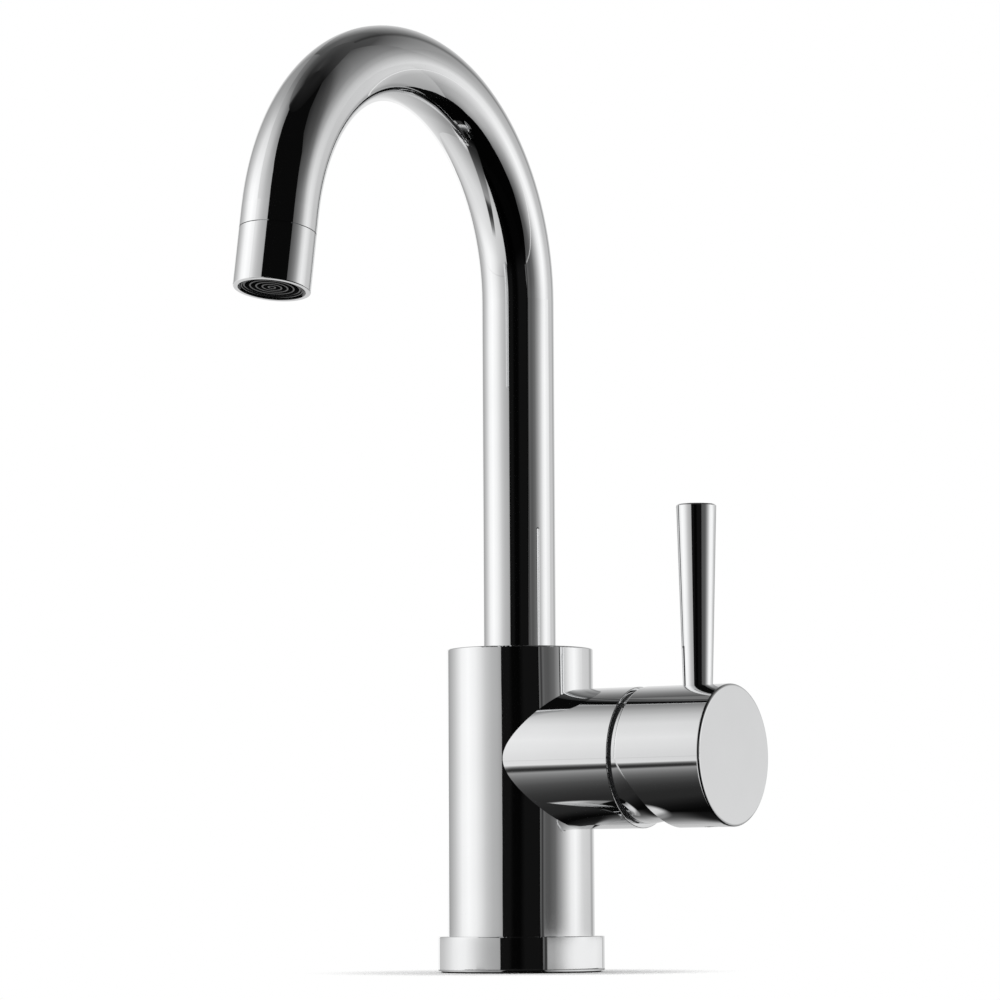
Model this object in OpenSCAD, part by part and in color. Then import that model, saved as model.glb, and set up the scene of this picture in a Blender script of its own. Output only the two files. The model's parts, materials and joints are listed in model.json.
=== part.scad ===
// Single-lever basin mixer with a high swivelling swan-neck spout and a side barrel.
// Lengths are in millimetres. The origin is the mouth of the fixing stud's hole, on the
// deck plane. +Z is up, the barrel and its lever lie along +X, and the spout points to -Y.

/* [Base] */
// How far the base ring stands out past the column
base_lip = 3.3; // [2:0.1:6]
// Height of the base ring's top above the deck
base_ring_h = 12; // [8:0.5:16]
// Radius of the base ring's lower edge
base_ring_round = 0.6; // [0.3:0.1:1.2]
// Thickness of the gasket on the deck
gasket_t = 1.2; // [1:0.1:2]

/* [Column] */
// Diameter of the column
body_d = 50; // [49:0.5:56]
// Height of the column above the deck
body_h = 109.5; // [108:0.5:118]
// Wall of the hollow foot
body_wall = 3.5; // [2.5:0.1:4]
// Depth of the hollow in the foot
pocket_h = 40; // [34:0.5:42]
// Rounding of the column's and the barrel's visible edges
edge_round = 0.5; // [0.2:0.1:0.8]

/* [Fixing and inlets] */
// Tapping diameter for the M8 fixing stud
stud_hole_d = 6.8; // [5:0.1:7.2]
// Depth of the stud's hole
stud_hole_l = 16; // [10:0.5:24]
// Diameter of the boss that carries the stud
stud_boss_d = 12; // [10:0.5:13]
// Distance of each hose inlet from the column's axis
inlet_y = 13; // [12.6:0.1:13.6]
// Tapping diameter for the M10x1 hose ends
inlet_thread_d = 9; // [8.4:0.1:9.6]
// Depth of the hose threads
inlet_thread_l = 12; // [8:0.5:14]
// Diameter of the supply passages
passage_d = 7.6; // [6.4:0.1:8]

/* [Barrel] */
// Diameter of the barrel and of the handle
barrel_d = 47.4; // [46.6:0.1:48.4]
// Height of the barrel's axis above the deck
barrel_z = 71.5; // [70:0.5:73]
// Distance of the barrel's rim from the column's axis
stub_x = 48.6; // [46:0.2:52]
// Width of the dark groove between the barrel and the dome
groove_w = 0.8; // [0.6:0.1:1.2]

/* [Handle] */
// Gap of the handle's upper rim from the barrel's rim
rim_gap = 2.55; // [2.2:0.05:3.5]
// Length of the handle from its upper rim to its face
hub_l = 32.5; // [31:0.05:40]
// Slope of the handle's lower rim, which makes room for the tilt
cut_angle = 26.9; // [20:0.1:30]
// Distance of the lever's axis from the handle's face
lever_back = 13.6; // [10:0.1:14]
// Height of the lever above the barrel's surface
lever_h = 60.2; // [40:0.2:90]
// Diameter of the lever at its foot
lever_foot_d = 10.1; // [8:0.1:12]
// Diameter of the lever at its top
lever_top_d = 13.6; // [8:0.1:18]
// Size of the cartridge stem's square
stem_square = 8; // [7:0.1:8.4]
// Greatest tilt of the lever, in degrees
tilt_max = 25; // [15:1:26]

/* [Dome] */
// Diameter of the dome that the handle tilts over
dome_d = 44.4; // [43.6:0.1:45]
// Wall of the dome
dome_wall = 1.6; // [1:0.1:2]
// Reach of the dome past its centre
dome_reach = 14; // [13:0.1:14.6]

/* [Cartridge] */
// Diameter of the cartridge
cartridge_d = 35; // [34.4:0.1:35.4]
// Wall of the cartridge's housing
housing_wall = 1.5; // [1:0.1:1.6]
// Thickness of the cartridge's base plate
port_plate_t = 4.7; // [3.6:0.1:5]
// Thickness of the fixed ceramic disc
fixed_disc_t = 3.5; // [2.5:0.1:4]
// Thickness of the moving ceramic disc
moving_disc_t = 3.45; // [3:0.05:4]
// Diameter of the moving ceramic disc
moving_disc_d = 26; // [25:0.1:26.4]
// Length of the stem's inner arm, from the pivot to its foot
stem_arm = 10; // [8:0.1:10.4]
// Diameter of the pivot pin
pivot_pin_d = 4; // [3:0.1:4.6]
// Turn of the lever to each side, cold to hot, in degrees
turn_max = 50; // [30:1:60]
// Length of the cartridge nut's thread
nut_thread_l = 10.6; // [9:0.1:11.5]

/* [Spout] */
// Outer diameter of the spout's tube
tube_d = 24.8; // [24:0.1:25.4]
// Wall of the tube
tube_wall = 1.5; // [1:0.1:2]
// Height of the bend's centre above the deck
arch_z = 229.4; // [180:0.1:300]
// Radius of the bend, on the tube's centre line
bend_r = 70.8; // [50:0.1:90]
// Angle of the bend
bend_angle = 170; // [150:1:180]
// Straight end piece between the bend and the outlet collar
tail_l = 7; // [4:0.1:20]
// Length of the outlet collar
collar_l = 19.2; // [17:0.1:24]
// Greatest swing of the spout to each side, in degrees
swing_max = 60; // [20:5:80]

/* [Aerator] */
// Width of the collar's rim round the outlet
collar_rim = 1.6; // [1.5:0.05:2]
// Distance between the rings of the outlet grille
grille_pitch = 1.95; // [1.6:0.05:2]
// Width of each ring of the outlet grille
grille_line = 0.5; // [0.3:0.05:0.8]
// Number of rings in the outlet grille
grille_rings = 5; // [2:1:5]

/* [Hidden] */
$fn = 96;

CHROME = [0.84, 0.86, 0.88];
BRASS = [0.78, 0.62, 0.32];
STEEL = [0.62, 0.64, 0.66];
RUBBER = [0.12, 0.12, 0.13];
CERAMIC = [0.93, 0.92, 0.88];
WHITE_PLASTIC = [0.90, 0.90, 0.90];
GREY_PLASTIC = [0.55, 0.57, 0.60];
DARK_PLASTIC = [0.16, 0.17, 0.18];
RED_PLASTIC = [0.75, 0.25, 0.22];

// Overrun of a cut past the face that it opens
over = 1;
// Gap between two pieces that are assembled by sliding
slip = 0.1;
// Gap between a shaft and the bore that it turns in
run = 0.05;
// Gap between a screw and its thread
thread_gap = 0.03;
// Gap between moving pieces that must not touch
air = 0.4;
// Gap of the brazed seam between the tube and its end piece
seam = 0.005;
// Hexagon sockets of the grub screws: width across corners and depth
hex_d = 2.9;
hex_l = 2.5;

// Column and foot
body_r = body_d / 2;
pocket_r = body_r - body_wall;
base_ring_r = body_r + base_lip;
base_ring_z = 0.3;
gasket_in_r = pocket_r + 0.2;
gasket_r = base_ring_r - 1.1;
gasket_seat_r = gasket_r + 0.2;
rim_round = edge_round * 0.6;

// Spout joint, from the top of the column down
tube_r = tube_d / 2;
tube_in_r = tube_r - tube_wall;
socket_r = tube_r + 0.2;
glide_t = 1.5;
glide_l = 5.5;
glide_z = body_h - edge_round - glide_l;
glide_seat_r = socket_r + glide_t - 0.1;
nipple_top_z = glide_z - 1;
stop_z = nipple_top_z - 3.8;
stop_dog_r = 1.5;
stop_groove_r = tube_r - 1.4;
stop_groove_w = 3.6;
stop_screw_r = 2.5;
stop_head_gap = 1.2;
o_ring_r = 1;
o_ring_mid_r = socket_r - run - o_ring_r;
o_ring_groove_r = o_ring_mid_r - o_ring_r - run;
o_ring_groove_w = 2.6;
groove_wall = 1.8;
upper_o_ring_z = stop_z - stop_groove_w / 2 - groove_wall - o_ring_groove_w / 2;
lower_o_ring_z = upper_o_ring_z - o_ring_groove_w - groove_wall;
lower_glide_w = 3;
lower_glide_in_r = tube_r - 1;
lower_glide_z = lower_o_ring_z - o_ring_groove_w / 2 - groove_wall - lower_glide_w;
nipple_z = lower_glide_z - 1.2;
socket_z = nipple_z - 0.8;
nipple_bore_r = tube_in_r - 3.4;
spigot_l = 9;

// Barrel and cartridge, outwards along +X
barrel_r = barrel_d / 2;
cartridge_r = cartridge_d / 2;
chamber_r = cartridge_r + 0.25;
floor_x = socket_r + 1.9;
shoulder_x = stub_x - nut_thread_l;
thread_r = cartridge_r + 3;
thread_relief = 0.5;
pivot_x = stub_x + 1.4;
port_plate_x = floor_x + 0.3;
plate_flange_t = 1.8;
fixed_disc_x = port_plate_x + port_plate_t;
moving_disc_x = fixed_disc_x + fixed_disc_t + run;
carrier_x = moving_disc_x + moving_disc_t;
housing_top_t = 2.6;
flange_t = 3.6;
rotor_x = shoulder_x - housing_top_t - air - flange_t;
carrier_top_x = rotor_x - air;
housing_in_r = cartridge_r - housing_wall;
rotor_flange_r = housing_in_r - 0.3;
fixed_disc_r = rotor_flange_r;
neck_inset = 2.1;
neck_wall = 2.4;
neck_play = 0.07;
neck_r = cartridge_r - neck_inset;
neck_bore_r = neck_r - neck_wall;
rotor_neck_r = neck_bore_r - neck_play;
nut_bore_r = neck_r + 0.2;
rotor_end_x = pivot_x + 4;
neck_end_x = pivot_x + 2;
nut_face_x = stub_x + groove_w;
nut_hex_l = 5.6;
nut_end_x = nut_face_x + nut_hex_l;
nut_hex_r = nut_bore_r + 3.4;

// Cartridge ports, as [y, height above the barrel's axis]
inlet_port = [8.5, 4];
outlet_port = [0, -9];
inlet_port_r = 3;
outlet_port_r = 3.8;
seal_w = 1.5;
seal_depth = 1.4;
peg_at = [11.5, -5.5];
peg_r = 1.5;
peg_l = 2.6;
peg_end_gap = 0.3;

// Ports of the discs: each inlet is an arc round the axis, with its ends' angles from the
// top; the outlet is a slot down from the axis; a land of the moving disc seals them
inlet_arc = [20, 80];
inlet_arc_in_r = 6.3;
inlet_arc_out_r = 10;
disc_land = 1;
recess_r = inlet_arc_in_r - disc_land;
disc_outlet_r = 3.2;
disc_outlet_l = 6.4;

// Stem, its travel and the pieces that it drives
stem_half = stem_square / 2;
stem_foot_r = 2.4;
stem_neck_half = 1.5;
stem_eye_r = stem_half + 0.4;
stem_end_x = stub_x + rim_gap + hub_l - 4.3;
slot_half_y = stem_half + 0.2;
slot_half_z = 9.4;
disc_travel = stem_arm * sin(tilt_max);
disc_offset = -disc_travel / 2;
stem_foot_x = pivot_x - stem_arm;
fork_gap = stem_foot_r + 0.1;
fork_wall = 2.1;
fork_end_x = stem_foot_x + 2;
fork_slot_x = stem_foot_x - stem_foot_r - 1.1;
carrier_r = moving_disc_d / 2 + 0.4;
limit_tab_half = 1.5;
limit_tab_gap = 0.2;
limit_tab_r = neck_bore_r + 1.6;
limit_window = turn_max + asin(limit_tab_half / neck_bore_r) + 0.6;

// Handle
rim_x = stub_x + rim_gap;
face_x = rim_x + hub_l;
dome_r = dome_d / 2;
seat_ring_r = dome_r - 0.5;
face_round = edge_round * 1.8;
cavity_r = dome_r + air;
hub_rim_round = (barrel_r - cavity_r) * 0.7;
cavity_reach = dome_reach + 0.6;
boss_r = stem_half + 3;
lever_x = face_x - lever_back;
lever_top_z = barrel_z + barrel_r + lever_h;
lever_thread_r = 3;
lever_thread_l = 10;
lever_sink = 2;
thread_run_out = 1;
grub_back = 8;
grub_x = face_x - grub_back;
grub_r = 2.5;
grub_l = 10;
plug_r = 3.2;
plug_l = 3;
plug_seat_gap = 0.6;
plug_flush = 0.1;

// Outlet, along its axis from the end of the flush tail
end_thread_r = tube_r - 1.53;
end_thread_l = 9;
end_spigot_l = 3;
end_bore_r = end_thread_r - 2.6;
collar_bore_r = end_thread_r + slip + thread_gap;
collar_gap = 0.25;
opening_r = tube_r - collar_rim;
collar_gasket_t = 1.2;
lip_t = 1.8;
aerator_z = end_thread_l + collar_gasket_t;
aerator_r = collar_bore_r - 0.05;
aerator_foot_r = opening_r - 0.85;
aerator_bore_r = aerator_foot_r - 0.5;
insert_r = aerator_bore_r - 0.1;
aerator_end = collar_l - 0.5;
grille_h = 2.6;
grille_end = collar_l - 0.8;
grille_centre_r = 1.1;
spoke_h = 1.2;
mesh_t = 0.5;
mesh_bar = 0.4;
mesh_pitch = 3;
mesh_z = grille_end - grille_h - mesh_t - 0.1;
jet_plate_t = 1.6;
jet_r = 0.7;
jet_ring_r = 6.6;
jet_plate_z = aerator_z + 0.6;

// A quarter-round cutter for the corner of a profile; side points out of the corner
module round_corner(corner, r, side) {
  translate([corner[0] - side[0] * r, corner[1] - side[1] * r])
    difference() {
      translate([side[0] > 0 ? 0 : -r - over, side[1] > 0 ? 0 : -r - over])
        square(r + over);
      circle(r);
    }
}

// A flat ring in its profile: inner and outer radius, lower and upper end
module ring_profile(r_in, r_out, z_low, z_high) {
  translate([r_in, z_low])
    square([r_out - r_in, z_high - z_low]);
}

// A plain ring round the Z axis
module ring(r_in, r_out, z_low, z_high) {
  rotate_extrude()
    ring_profile(r_in, r_out, z_low, z_high);
}

// Stands what it holds on the barrel's axis, its Z pointing along +X from x = 0
module along_barrel() {
  translate([0, 0, barrel_z])
    rotate([0, 90, 0])
      children();
}

// Moves to [y, height] off the barrel's axis, inside along_barrel
module off_axis(place) {
  translate([-place[1], place[0], 0])
    children();
}

// Both inlets' places, mirrored across the XZ plane
module each_side() {
  for (side = [-1, 1])
    scale([1, side, 1])
      children();
}

// Stands what it holds on the end of the flush tail, its Z pointing with the water
module at_outlet() {
  at_bend_end()
    translate([0, 0, tail_l])
      children();
}

// Stands what it holds on the end of the spout's bend, its Z pointing with the water
module at_bend_end() {
  translate([0, -bend_r, arch_z])
    rotate([90, 0, 90])
      rotate(bend_angle)
        translate([bend_r, 0, 0])
          rotate([-90, 0, 0])
            children();
}

// Hexagon socket of a grub screw, cut upwards from z = 0
module hex_socket() {
  translate([0, 0, -over])
    cylinder(d = hex_d, h = hex_l + over, $fn = 6);
}

// A box with its faces given
module box(low, high) {
  translate(low)
    cube([high[0] - low[0], high[1] - low[1], high[2] - low[2]]);
}

// Rubber ring that seals the tap to the deck
module base_gasket() {
  color(RUBBER)
    ring(gasket_in_r, gasket_r, 0, gasket_t);
}

// Escutcheon round the foot, recessed below for the gasket
module base_ring() {
  color(CHROME)
    rotate_extrude()
      difference() {
        ring_profile(body_r + slip, base_ring_r, base_ring_z, base_ring_h);
        ring_profile(body_r - over, gasket_seat_r, base_ring_z - over, gasket_t);
        round_corner([base_ring_r, base_ring_z], base_ring_round, [1, -1]);
        round_corner([base_ring_r, base_ring_h], rim_round, [1, 1]);
      }
}

// Column, barrel and foot, cast in one with their bores and passages
module body() {
  color(CHROME)
    difference() {
      body_outside();
      body_foot_hollow();
      body_supply_passages();
      body_mixed_passage();
      body_spout_socket();
      body_cartridge_chamber();
    }
}

module body_outside() {
  rotate_extrude()
    difference() {
      ring_profile(0, body_r, gasket_t, body_h);
      round_corner([body_r, body_h], edge_round, [1, 1]);
    }
  cylinder(r = stud_boss_d / 2, h = gasket_t + over);
  along_barrel()
    rotate_extrude()
      difference() {
        ring_profile(0, barrel_r, socket_r / 2, stub_x);
        round_corner([barrel_r, stub_x], rim_round, [1, 1]);
      }
}

// Hollow for the hoses, round the boss that holds the stud
module body_foot_hollow() {
  difference() {
    translate([0, 0, -over])
      cylinder(r = pocket_r, h = pocket_h + over);
    translate([0, 0, -2 * over])
      cylinder(r = stud_boss_d / 2, h = pocket_h + 4 * over);
  }
  translate([0, 0, -over])
    cylinder(d = stud_hole_d, h = stud_hole_l + over);
}

// Hose threads, risers and ports to the cartridge's floor
module body_supply_passages() {
  riser_top_z = barrel_z + inlet_port[1] + inlet_port_r;
  each_side() {
    translate([0, inlet_y, pocket_h - over])
      cylinder(d = inlet_thread_d, h = inlet_thread_l + over);
    translate([0, inlet_y, pocket_h])
      cylinder(d = passage_d, h = riser_top_z - pocket_h);
    along_barrel()
      off_axis(inlet_port)
        cylinder(r = inlet_port_r, h = floor_x + over);
    along_barrel()
      off_axis(peg_at)
        translate([0, 0, floor_x - peg_l])
          cylinder(r = peg_r + slip, h = peg_l + over);
  }
}

// Way of the mixed water, from the cartridge's floor up to the spout
module body_mixed_passage() {
  riser_r = outlet_port_r + 0.4;
  riser_z = barrel_z + outlet_port[1] - riser_r - 0.5;
  translate([0, 0, riser_z])
    cylinder(r = riser_r, h = socket_z - riser_z + over);
  along_barrel()
    off_axis(outlet_port)
      cylinder(r = outlet_port_r, h = floor_x + over);
}

// Bore in which the spout turns, and the thread of its stop screw
module body_spout_socket() {
  translate([0, 0, socket_z])
    cylinder(r = socket_r, h = body_h - socket_z + over);
  translate([0, 0, glide_z])
    cylinder(r = glide_seat_r, h = body_h - glide_z + over);
  translate([0, socket_r - over, stop_z])
    rotate([-90, 0, 0])
      cylinder(r = stop_screw_r, h = body_r - socket_r + 2 * over);
}

// Chamber of the cartridge and the thread of its nut
module body_cartridge_chamber() {
  along_barrel() {
    translate([0, 0, floor_x])
      cylinder(r = chamber_r, h = stub_x - floor_x + over);
    translate([0, 0, shoulder_x - thread_relief])
      cylinder(r = thread_r, h = thread_relief + nut_thread_l + over);
  }
}

// Plastic ring that guides the tube in the column's top
module top_glide_ring() {
  color(DARK_PLASTIC)
    ring(tube_r + run, glide_seat_r - run, glide_z, glide_z + glide_l);
}

// Dog-point grub screw whose tip runs in the spout nipple's arc groove
module swing_stop_screw() {
  tip = stop_groove_r + 0.3;
  dog_end = socket_r + 0.6;
  head_end = body_r - stop_head_gap;
  color(STEEL)
    translate([0, 0, stop_z])
      rotate([-90, 0, 0])
        difference() {
          union() {
            translate([0, 0, tip])
              cylinder(r = stop_dog_r, h = dog_end - tip + over);
            translate([0, 0, dog_end])
              cylinder(r = stop_screw_r - thread_gap, h = head_end - dog_end);
          }
          translate([0, 0, head_end])
            rotate([180, 0, 0])
              hex_socket();
        }
}

// Base plate of the cartridge, with its ports, seal seats and locating pegs
module cartridge_base() {
  color(WHITE_PLASTIC)
    along_barrel()
      difference() {
        union() {
          ring(0, cartridge_r, port_plate_x, port_plate_x + plate_flange_t);
          ring(0, housing_in_r - slip, port_plate_x, fixed_disc_x);
          for (side = [-1, 1])
            off_axis([side * peg_at[0], peg_at[1]])
              translate([0, 0, floor_x - peg_l + peg_end_gap])
                cylinder(r = peg_r, h = peg_l + plate_flange_t / 2);
        }
        for (side = [-1, 1])
          off_axis([side * inlet_port[0], inlet_port[1]])
            port_with_seat(inlet_port_r);
        off_axis(outlet_port)
          port_with_seat(outlet_port_r);
      }
}

// A port through the base plate, counterbored below for its seal
module port_with_seat(r) {
  translate([0, 0, port_plate_x - over])
    cylinder(r = r, h = port_plate_t + 2 * over);
  translate([0, 0, port_plate_x - over])
    cylinder(r = r + seal_w + slip, h = seal_depth + over);
}

// Rubber ring between the body's floor and a port of the base plate
module port_seal(place, r) {
  color(RUBBER)
    along_barrel()
      off_axis(place)
        ring(r, r + seal_w, floor_x, port_plate_x + seal_depth);
}

module front_inlet_seal() {
  port_seal([-inlet_port[0], inlet_port[1]], inlet_port_r);
}

module rear_inlet_seal() {
  port_seal(inlet_port, inlet_port_r);
}

module outlet_seal() {
  port_seal(outlet_port, outlet_port_r);
}

// Housing of the cartridge: a cup over the discs, with a neck for the rotor
module cartridge_housing() {
  color(WHITE_PLASTIC)
    along_barrel()
      rotate_extrude()
        difference() {
          union() {
            ring_profile(0, cartridge_r, port_plate_x + plate_flange_t, shoulder_x);
            ring_profile(0, neck_r, port_plate_x + plate_flange_t, neck_end_x);
          }
          ring_profile(-over, housing_in_r, port_plate_x, shoulder_x - housing_top_t);
          ring_profile(-over, neck_bore_r, port_plate_x, neck_end_x + over);
        }
}

// Lower ceramic disc, with two inlets and the outlet of the mixed water
module fixed_disc() {
  color(CERAMIC)
    along_barrel()
      difference() {
        ring(0, fixed_disc_r, fixed_disc_x, fixed_disc_x + fixed_disc_t);
        for (start = [180 - inlet_arc[1], 180 + inlet_arc[0]])
          rotate([0, 0, start])
            rotate_extrude(angle = inlet_arc[1] - inlet_arc[0])
              ring_profile(
                inlet_arc_in_r, inlet_arc_out_r,
                fixed_disc_x - over, fixed_disc_x + fixed_disc_t + over
              );
        translate([0, 0, fixed_disc_x - over])
          linear_extrude(fixed_disc_t + 2 * over)
            outlet_slot();
      }
}

// Outline of the fixed disc's outlet, from the axis down to the base plate's port
module outlet_slot() {
  circle(disc_outlet_r);
  translate([0, -disc_outlet_r])
    square([disc_outlet_l, 2 * disc_outlet_r]);
  translate([disc_outlet_l, 0])
    circle(disc_outlet_r);
}

// Upper ceramic disc: its recess stays round the axis, within the inlets, while the tap is
// shut at any turn, and slides over one inlet or both as it opens
module moving_disc() {
  recess_t = moving_disc_t * 0.6;
  color(CERAMIC)
    along_barrel()
      difference() {
        off_axis([0, disc_offset])
          ring(0, moving_disc_d / 2, moving_disc_x, carrier_x);
        translate([0, 0, moving_disc_x - over])
          cylinder(r = recess_r, h = recess_t + over);
      }
}

// Slider that carries the moving disc, with a fork for the stem's foot
module disc_carrier() {
  fork_half_z = fork_gap + fork_wall;
  color(GREY_PLASTIC)
    difference() {
      union() {
        along_barrel()
          off_axis([0, disc_offset])
            ring(0, carrier_r, carrier_x, carrier_top_x);
        translate([0, 0, barrel_z])
          box([carrier_top_x - over, -stem_half, -fork_half_z], [fork_end_x, stem_half, fork_half_z]);
      }
      translate([0, 0, barrel_z])
        box([fork_slot_x, -body_r, -fork_gap], [fork_end_x + over, body_r, fork_gap]);
    }
}

// Rotor that turns with the lever and holds the pivot pin
module cartridge_rotor() {
  color(GREY_PLASTIC)
    difference() {
      along_barrel() {
        ring(0, rotor_flange_r, rotor_x, rotor_x + flange_t);
        ring(0, rotor_neck_r, rotor_x, rotor_end_x);
        translate([0, -limit_tab_half, neck_end_x + limit_tab_gap])
          cube([limit_tab_r, 2 * limit_tab_half, rotor_end_x - neck_end_x - limit_tab_gap]);
      }
      translate([0, 0, barrel_z])
        box([rotor_x - over, -slot_half_y, -slot_half_z], [rotor_end_x + over, slot_half_y, slot_half_z]);
      pivot_bore(pivot_pin_d / 2 + thread_gap);
    }
}

module pivot_bore(r) {
  translate([pivot_x, 0, barrel_z])
    rotate([90, 0, 0])
      cylinder(r = r, h = body_d, center = true);
}

// Steel pin that the stem tilts on, shorter than its bore so that the nut never rubs it
module pivot_pin() {
  end_gap = 1;
  color(STEEL)
    translate([pivot_x, 0, barrel_z])
      rotate([90, 0, 0])
        cylinder(d = pivot_pin_d, h = 2 * (rotor_neck_r - end_gap), center = true);
}

// Ring that limits the turn: the rotor's tab moves in its window
module limiter_ring() {
  color(RED_PLASTIC)
    along_barrel()
      difference() {
        ring(neck_bore_r, neck_r, neck_end_x, rotor_end_x);
        rotate([0, 0, -limit_window])
          rotate_extrude(angle = 2 * limit_window)
            ring_profile(
              neck_bore_r - over, limit_tab_r + limit_tab_gap,
              neck_end_x - over, rotor_end_x + over
            );
      }
}

// Nut that holds the cartridge down, with a hexagon under the dome
module cartridge_nut() {
  color(BRASS)
    along_barrel()
      difference() {
        union() {
          translate([0, 0, shoulder_x])
            cylinder(r = thread_r - run, h = nut_face_x - shoulder_x);
          translate([0, 0, nut_face_x - over])
            cylinder(r = nut_hex_r, h = nut_end_x - nut_face_x + over, $fn = 6);
        }
        translate([0, 0, shoulder_x - over])
          cylinder(r = nut_bore_r, h = nut_end_x - shoulder_x + 2 * over);
      }
}

// Dark ring between the barrel's rim and the dome, seen in their groove
module dome_seat_ring() {
  color(DARK_PLASTIC)
    along_barrel()
      ring(thread_r + run, seat_ring_r, stub_x, nut_face_x);
}

// Spherical cover on the nut, centred on the pivot so that the handle clears it at any tilt
module dome_cover() {
  seat_t = 1.8;
  color(CHROME)
    along_barrel()
      rotate_extrude()
        intersection() {
          translate([0, pivot_x])
            circle(dome_r);
          difference() {
            ring_profile(nut_hex_r + slip, dome_r + over, nut_face_x, pivot_x + dome_reach);
            intersection() {
              translate([0, pivot_x])
                circle(dome_r - dome_wall);
              ring_profile(0, dome_r, nut_face_x + seat_t, pivot_x + dome_reach + over);
            }
          }
        }
}

// Stem that the handle is clamped on: foot, eye for the pin and square shank
module stem() {
  color(STEEL)
    difference() {
      union() {
        translate([stem_foot_x, 0, barrel_z])
          rotate([90, 0, 0])
            cylinder(r = stem_foot_r, h = 2 * stem_half, center = true);
        translate([pivot_x, 0, barrel_z])
          rotate([90, 0, 0])
            cylinder(r = stem_eye_r, h = 2 * stem_half, center = true);
        translate([0, 0, barrel_z]) {
          box([stem_foot_x, -stem_half, -stem_neck_half], [pivot_x, stem_half, stem_neck_half]);
          box([pivot_x, -stem_half, -stem_half], [stem_end_x, stem_half, stem_half]);
        }
      }
      pivot_bore(pivot_pin_d / 2 + run);
    }
}

// Handle: a cylinder with a sloping lower rim, hollowed to tilt over the dome
module handle_hub() {
  color(CHROME)
    difference() {
      along_barrel()
        rotate_extrude()
          difference() {
            ring_profile(0, barrel_r, rim_x, face_x);
            round_corner([barrel_r, face_x], face_round, [1, 1]);
            round_corner([barrel_r, rim_x], hub_rim_round, [1, -1]);
          }
      hub_lower_cut();
      hub_cavity();
      hub_stem_socket();
      hub_thread_and_screw_hole();
    }
}

// Wedge under the sloping lower rim
module hub_lower_cut() {
  depth = barrel_r + over;
  translate([rim_x, 0, barrel_z])
    rotate([90, 0, 0])
      linear_extrude(2 * depth, center = true)
        polygon([[0, 0], [depth * tan(cut_angle), -depth], [-over, -depth], [-over, 0]]);
}

// Spherical hollow, as deep as the dome's rim reaches in the handle at rest and at full tilt
module hub_cavity() {
  difference() {
    translate([pivot_x, 0, barrel_z])
      intersection() {
        sphere(cavity_r);
        union() {
          box([-cavity_r, -cavity_r, -cavity_r], [cavity_reach, cavity_r, cavity_r]);
          rotate([0, -tilt_max, 0])
            box([-cavity_r, -cavity_r, -cavity_r], [cavity_reach, cavity_r, cavity_r]);
        }
      }
    along_barrel()
      translate([0, 0, pivot_x + dome_reach])
        cylinder(r = boss_r, h = cavity_r);
  }
}

module hub_stem_socket() {
  half = stem_half + run;
  translate([0, 0, barrel_z])
    box([pivot_x + dome_reach - over, -half, -half], [stem_end_x + slip, half, half]);
}

// Thread of the lever on top; below, the grub screw's thread and its plug's seat
module hub_thread_and_screw_hole() {
  translate([lever_x, 0, barrel_z + barrel_r - lever_thread_l - thread_run_out])
    cylinder(r = lever_thread_r, h = thread_run_out + lever_thread_l + over);
  translate([grub_x, 0, barrel_z - barrel_r - over])
    cylinder(r = grub_r, h = barrel_r - stem_half + over);
  translate([grub_x, 0, barrel_z - barrel_r - over])
    cylinder(r = plug_r, h = over + plug_l + plug_seat_gap);
}

// Tapered pin lever, coped to the handle's round top, with its threaded tail
module lever_rod() {
  foot_z = barrel_z + barrel_r;
  chamfer = edge_round * 0.7;
  spread = (lever_top_d - lever_foot_d) / 2 / lever_h;
  color(CHROME)
    translate([lever_x, 0, 0]) {
      difference() {
        rotate_extrude()
          difference() {
            polygon([
              [0, foot_z - lever_sink], [lever_foot_d / 2 - spread * lever_sink, foot_z - lever_sink],
              [lever_top_d / 2, lever_top_z], [0, lever_top_z]
            ]);
            translate([lever_top_d / 2, lever_top_z])
              rotate(45)
                square(2 * chamfer, center = true);
          }
        translate([0, 0, barrel_z])
          rotate([0, 90, 0])
            cylinder(r = barrel_r, h = 2 * body_r, center = true);
      }
      translate([0, 0, foot_z - lever_thread_l])
        cylinder(r = lever_thread_r - thread_gap, h = lever_thread_l + over);
    }
}

// Grub screw that clamps the handle on the stem
module handle_grub_screw() {
  color(STEEL)
    translate([grub_x, 0, barrel_z - stem_half - grub_l])
      difference() {
        cylinder(r = grub_r - thread_gap, h = grub_l);
        hex_socket();
      }
}

// Plug over the grub screw, flush with the handle's underside
module screw_plug() {
  color(GREY_PLASTIC)
    intersection() {
      translate([grub_x, 0, barrel_z - barrel_r - over])
        cylinder(r = plug_r - thread_gap, h = plug_l + over);
      along_barrel()
        cylinder(r = barrel_r - plug_flush, h = face_x + over);
    }
}

// Swan-neck tube, open at both ends
module spout_tube() {
  color(CHROME) {
    ring(tube_in_r, tube_r, nipple_top_z, arch_z);
    translate([0, -bend_r, arch_z])
      rotate([90, 0, 90])
        rotate_extrude(angle = bend_angle)
          translate([bend_r, 0])
            difference() {
              circle(tube_r);
              circle(tube_in_r);
            }
  }
}

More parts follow.
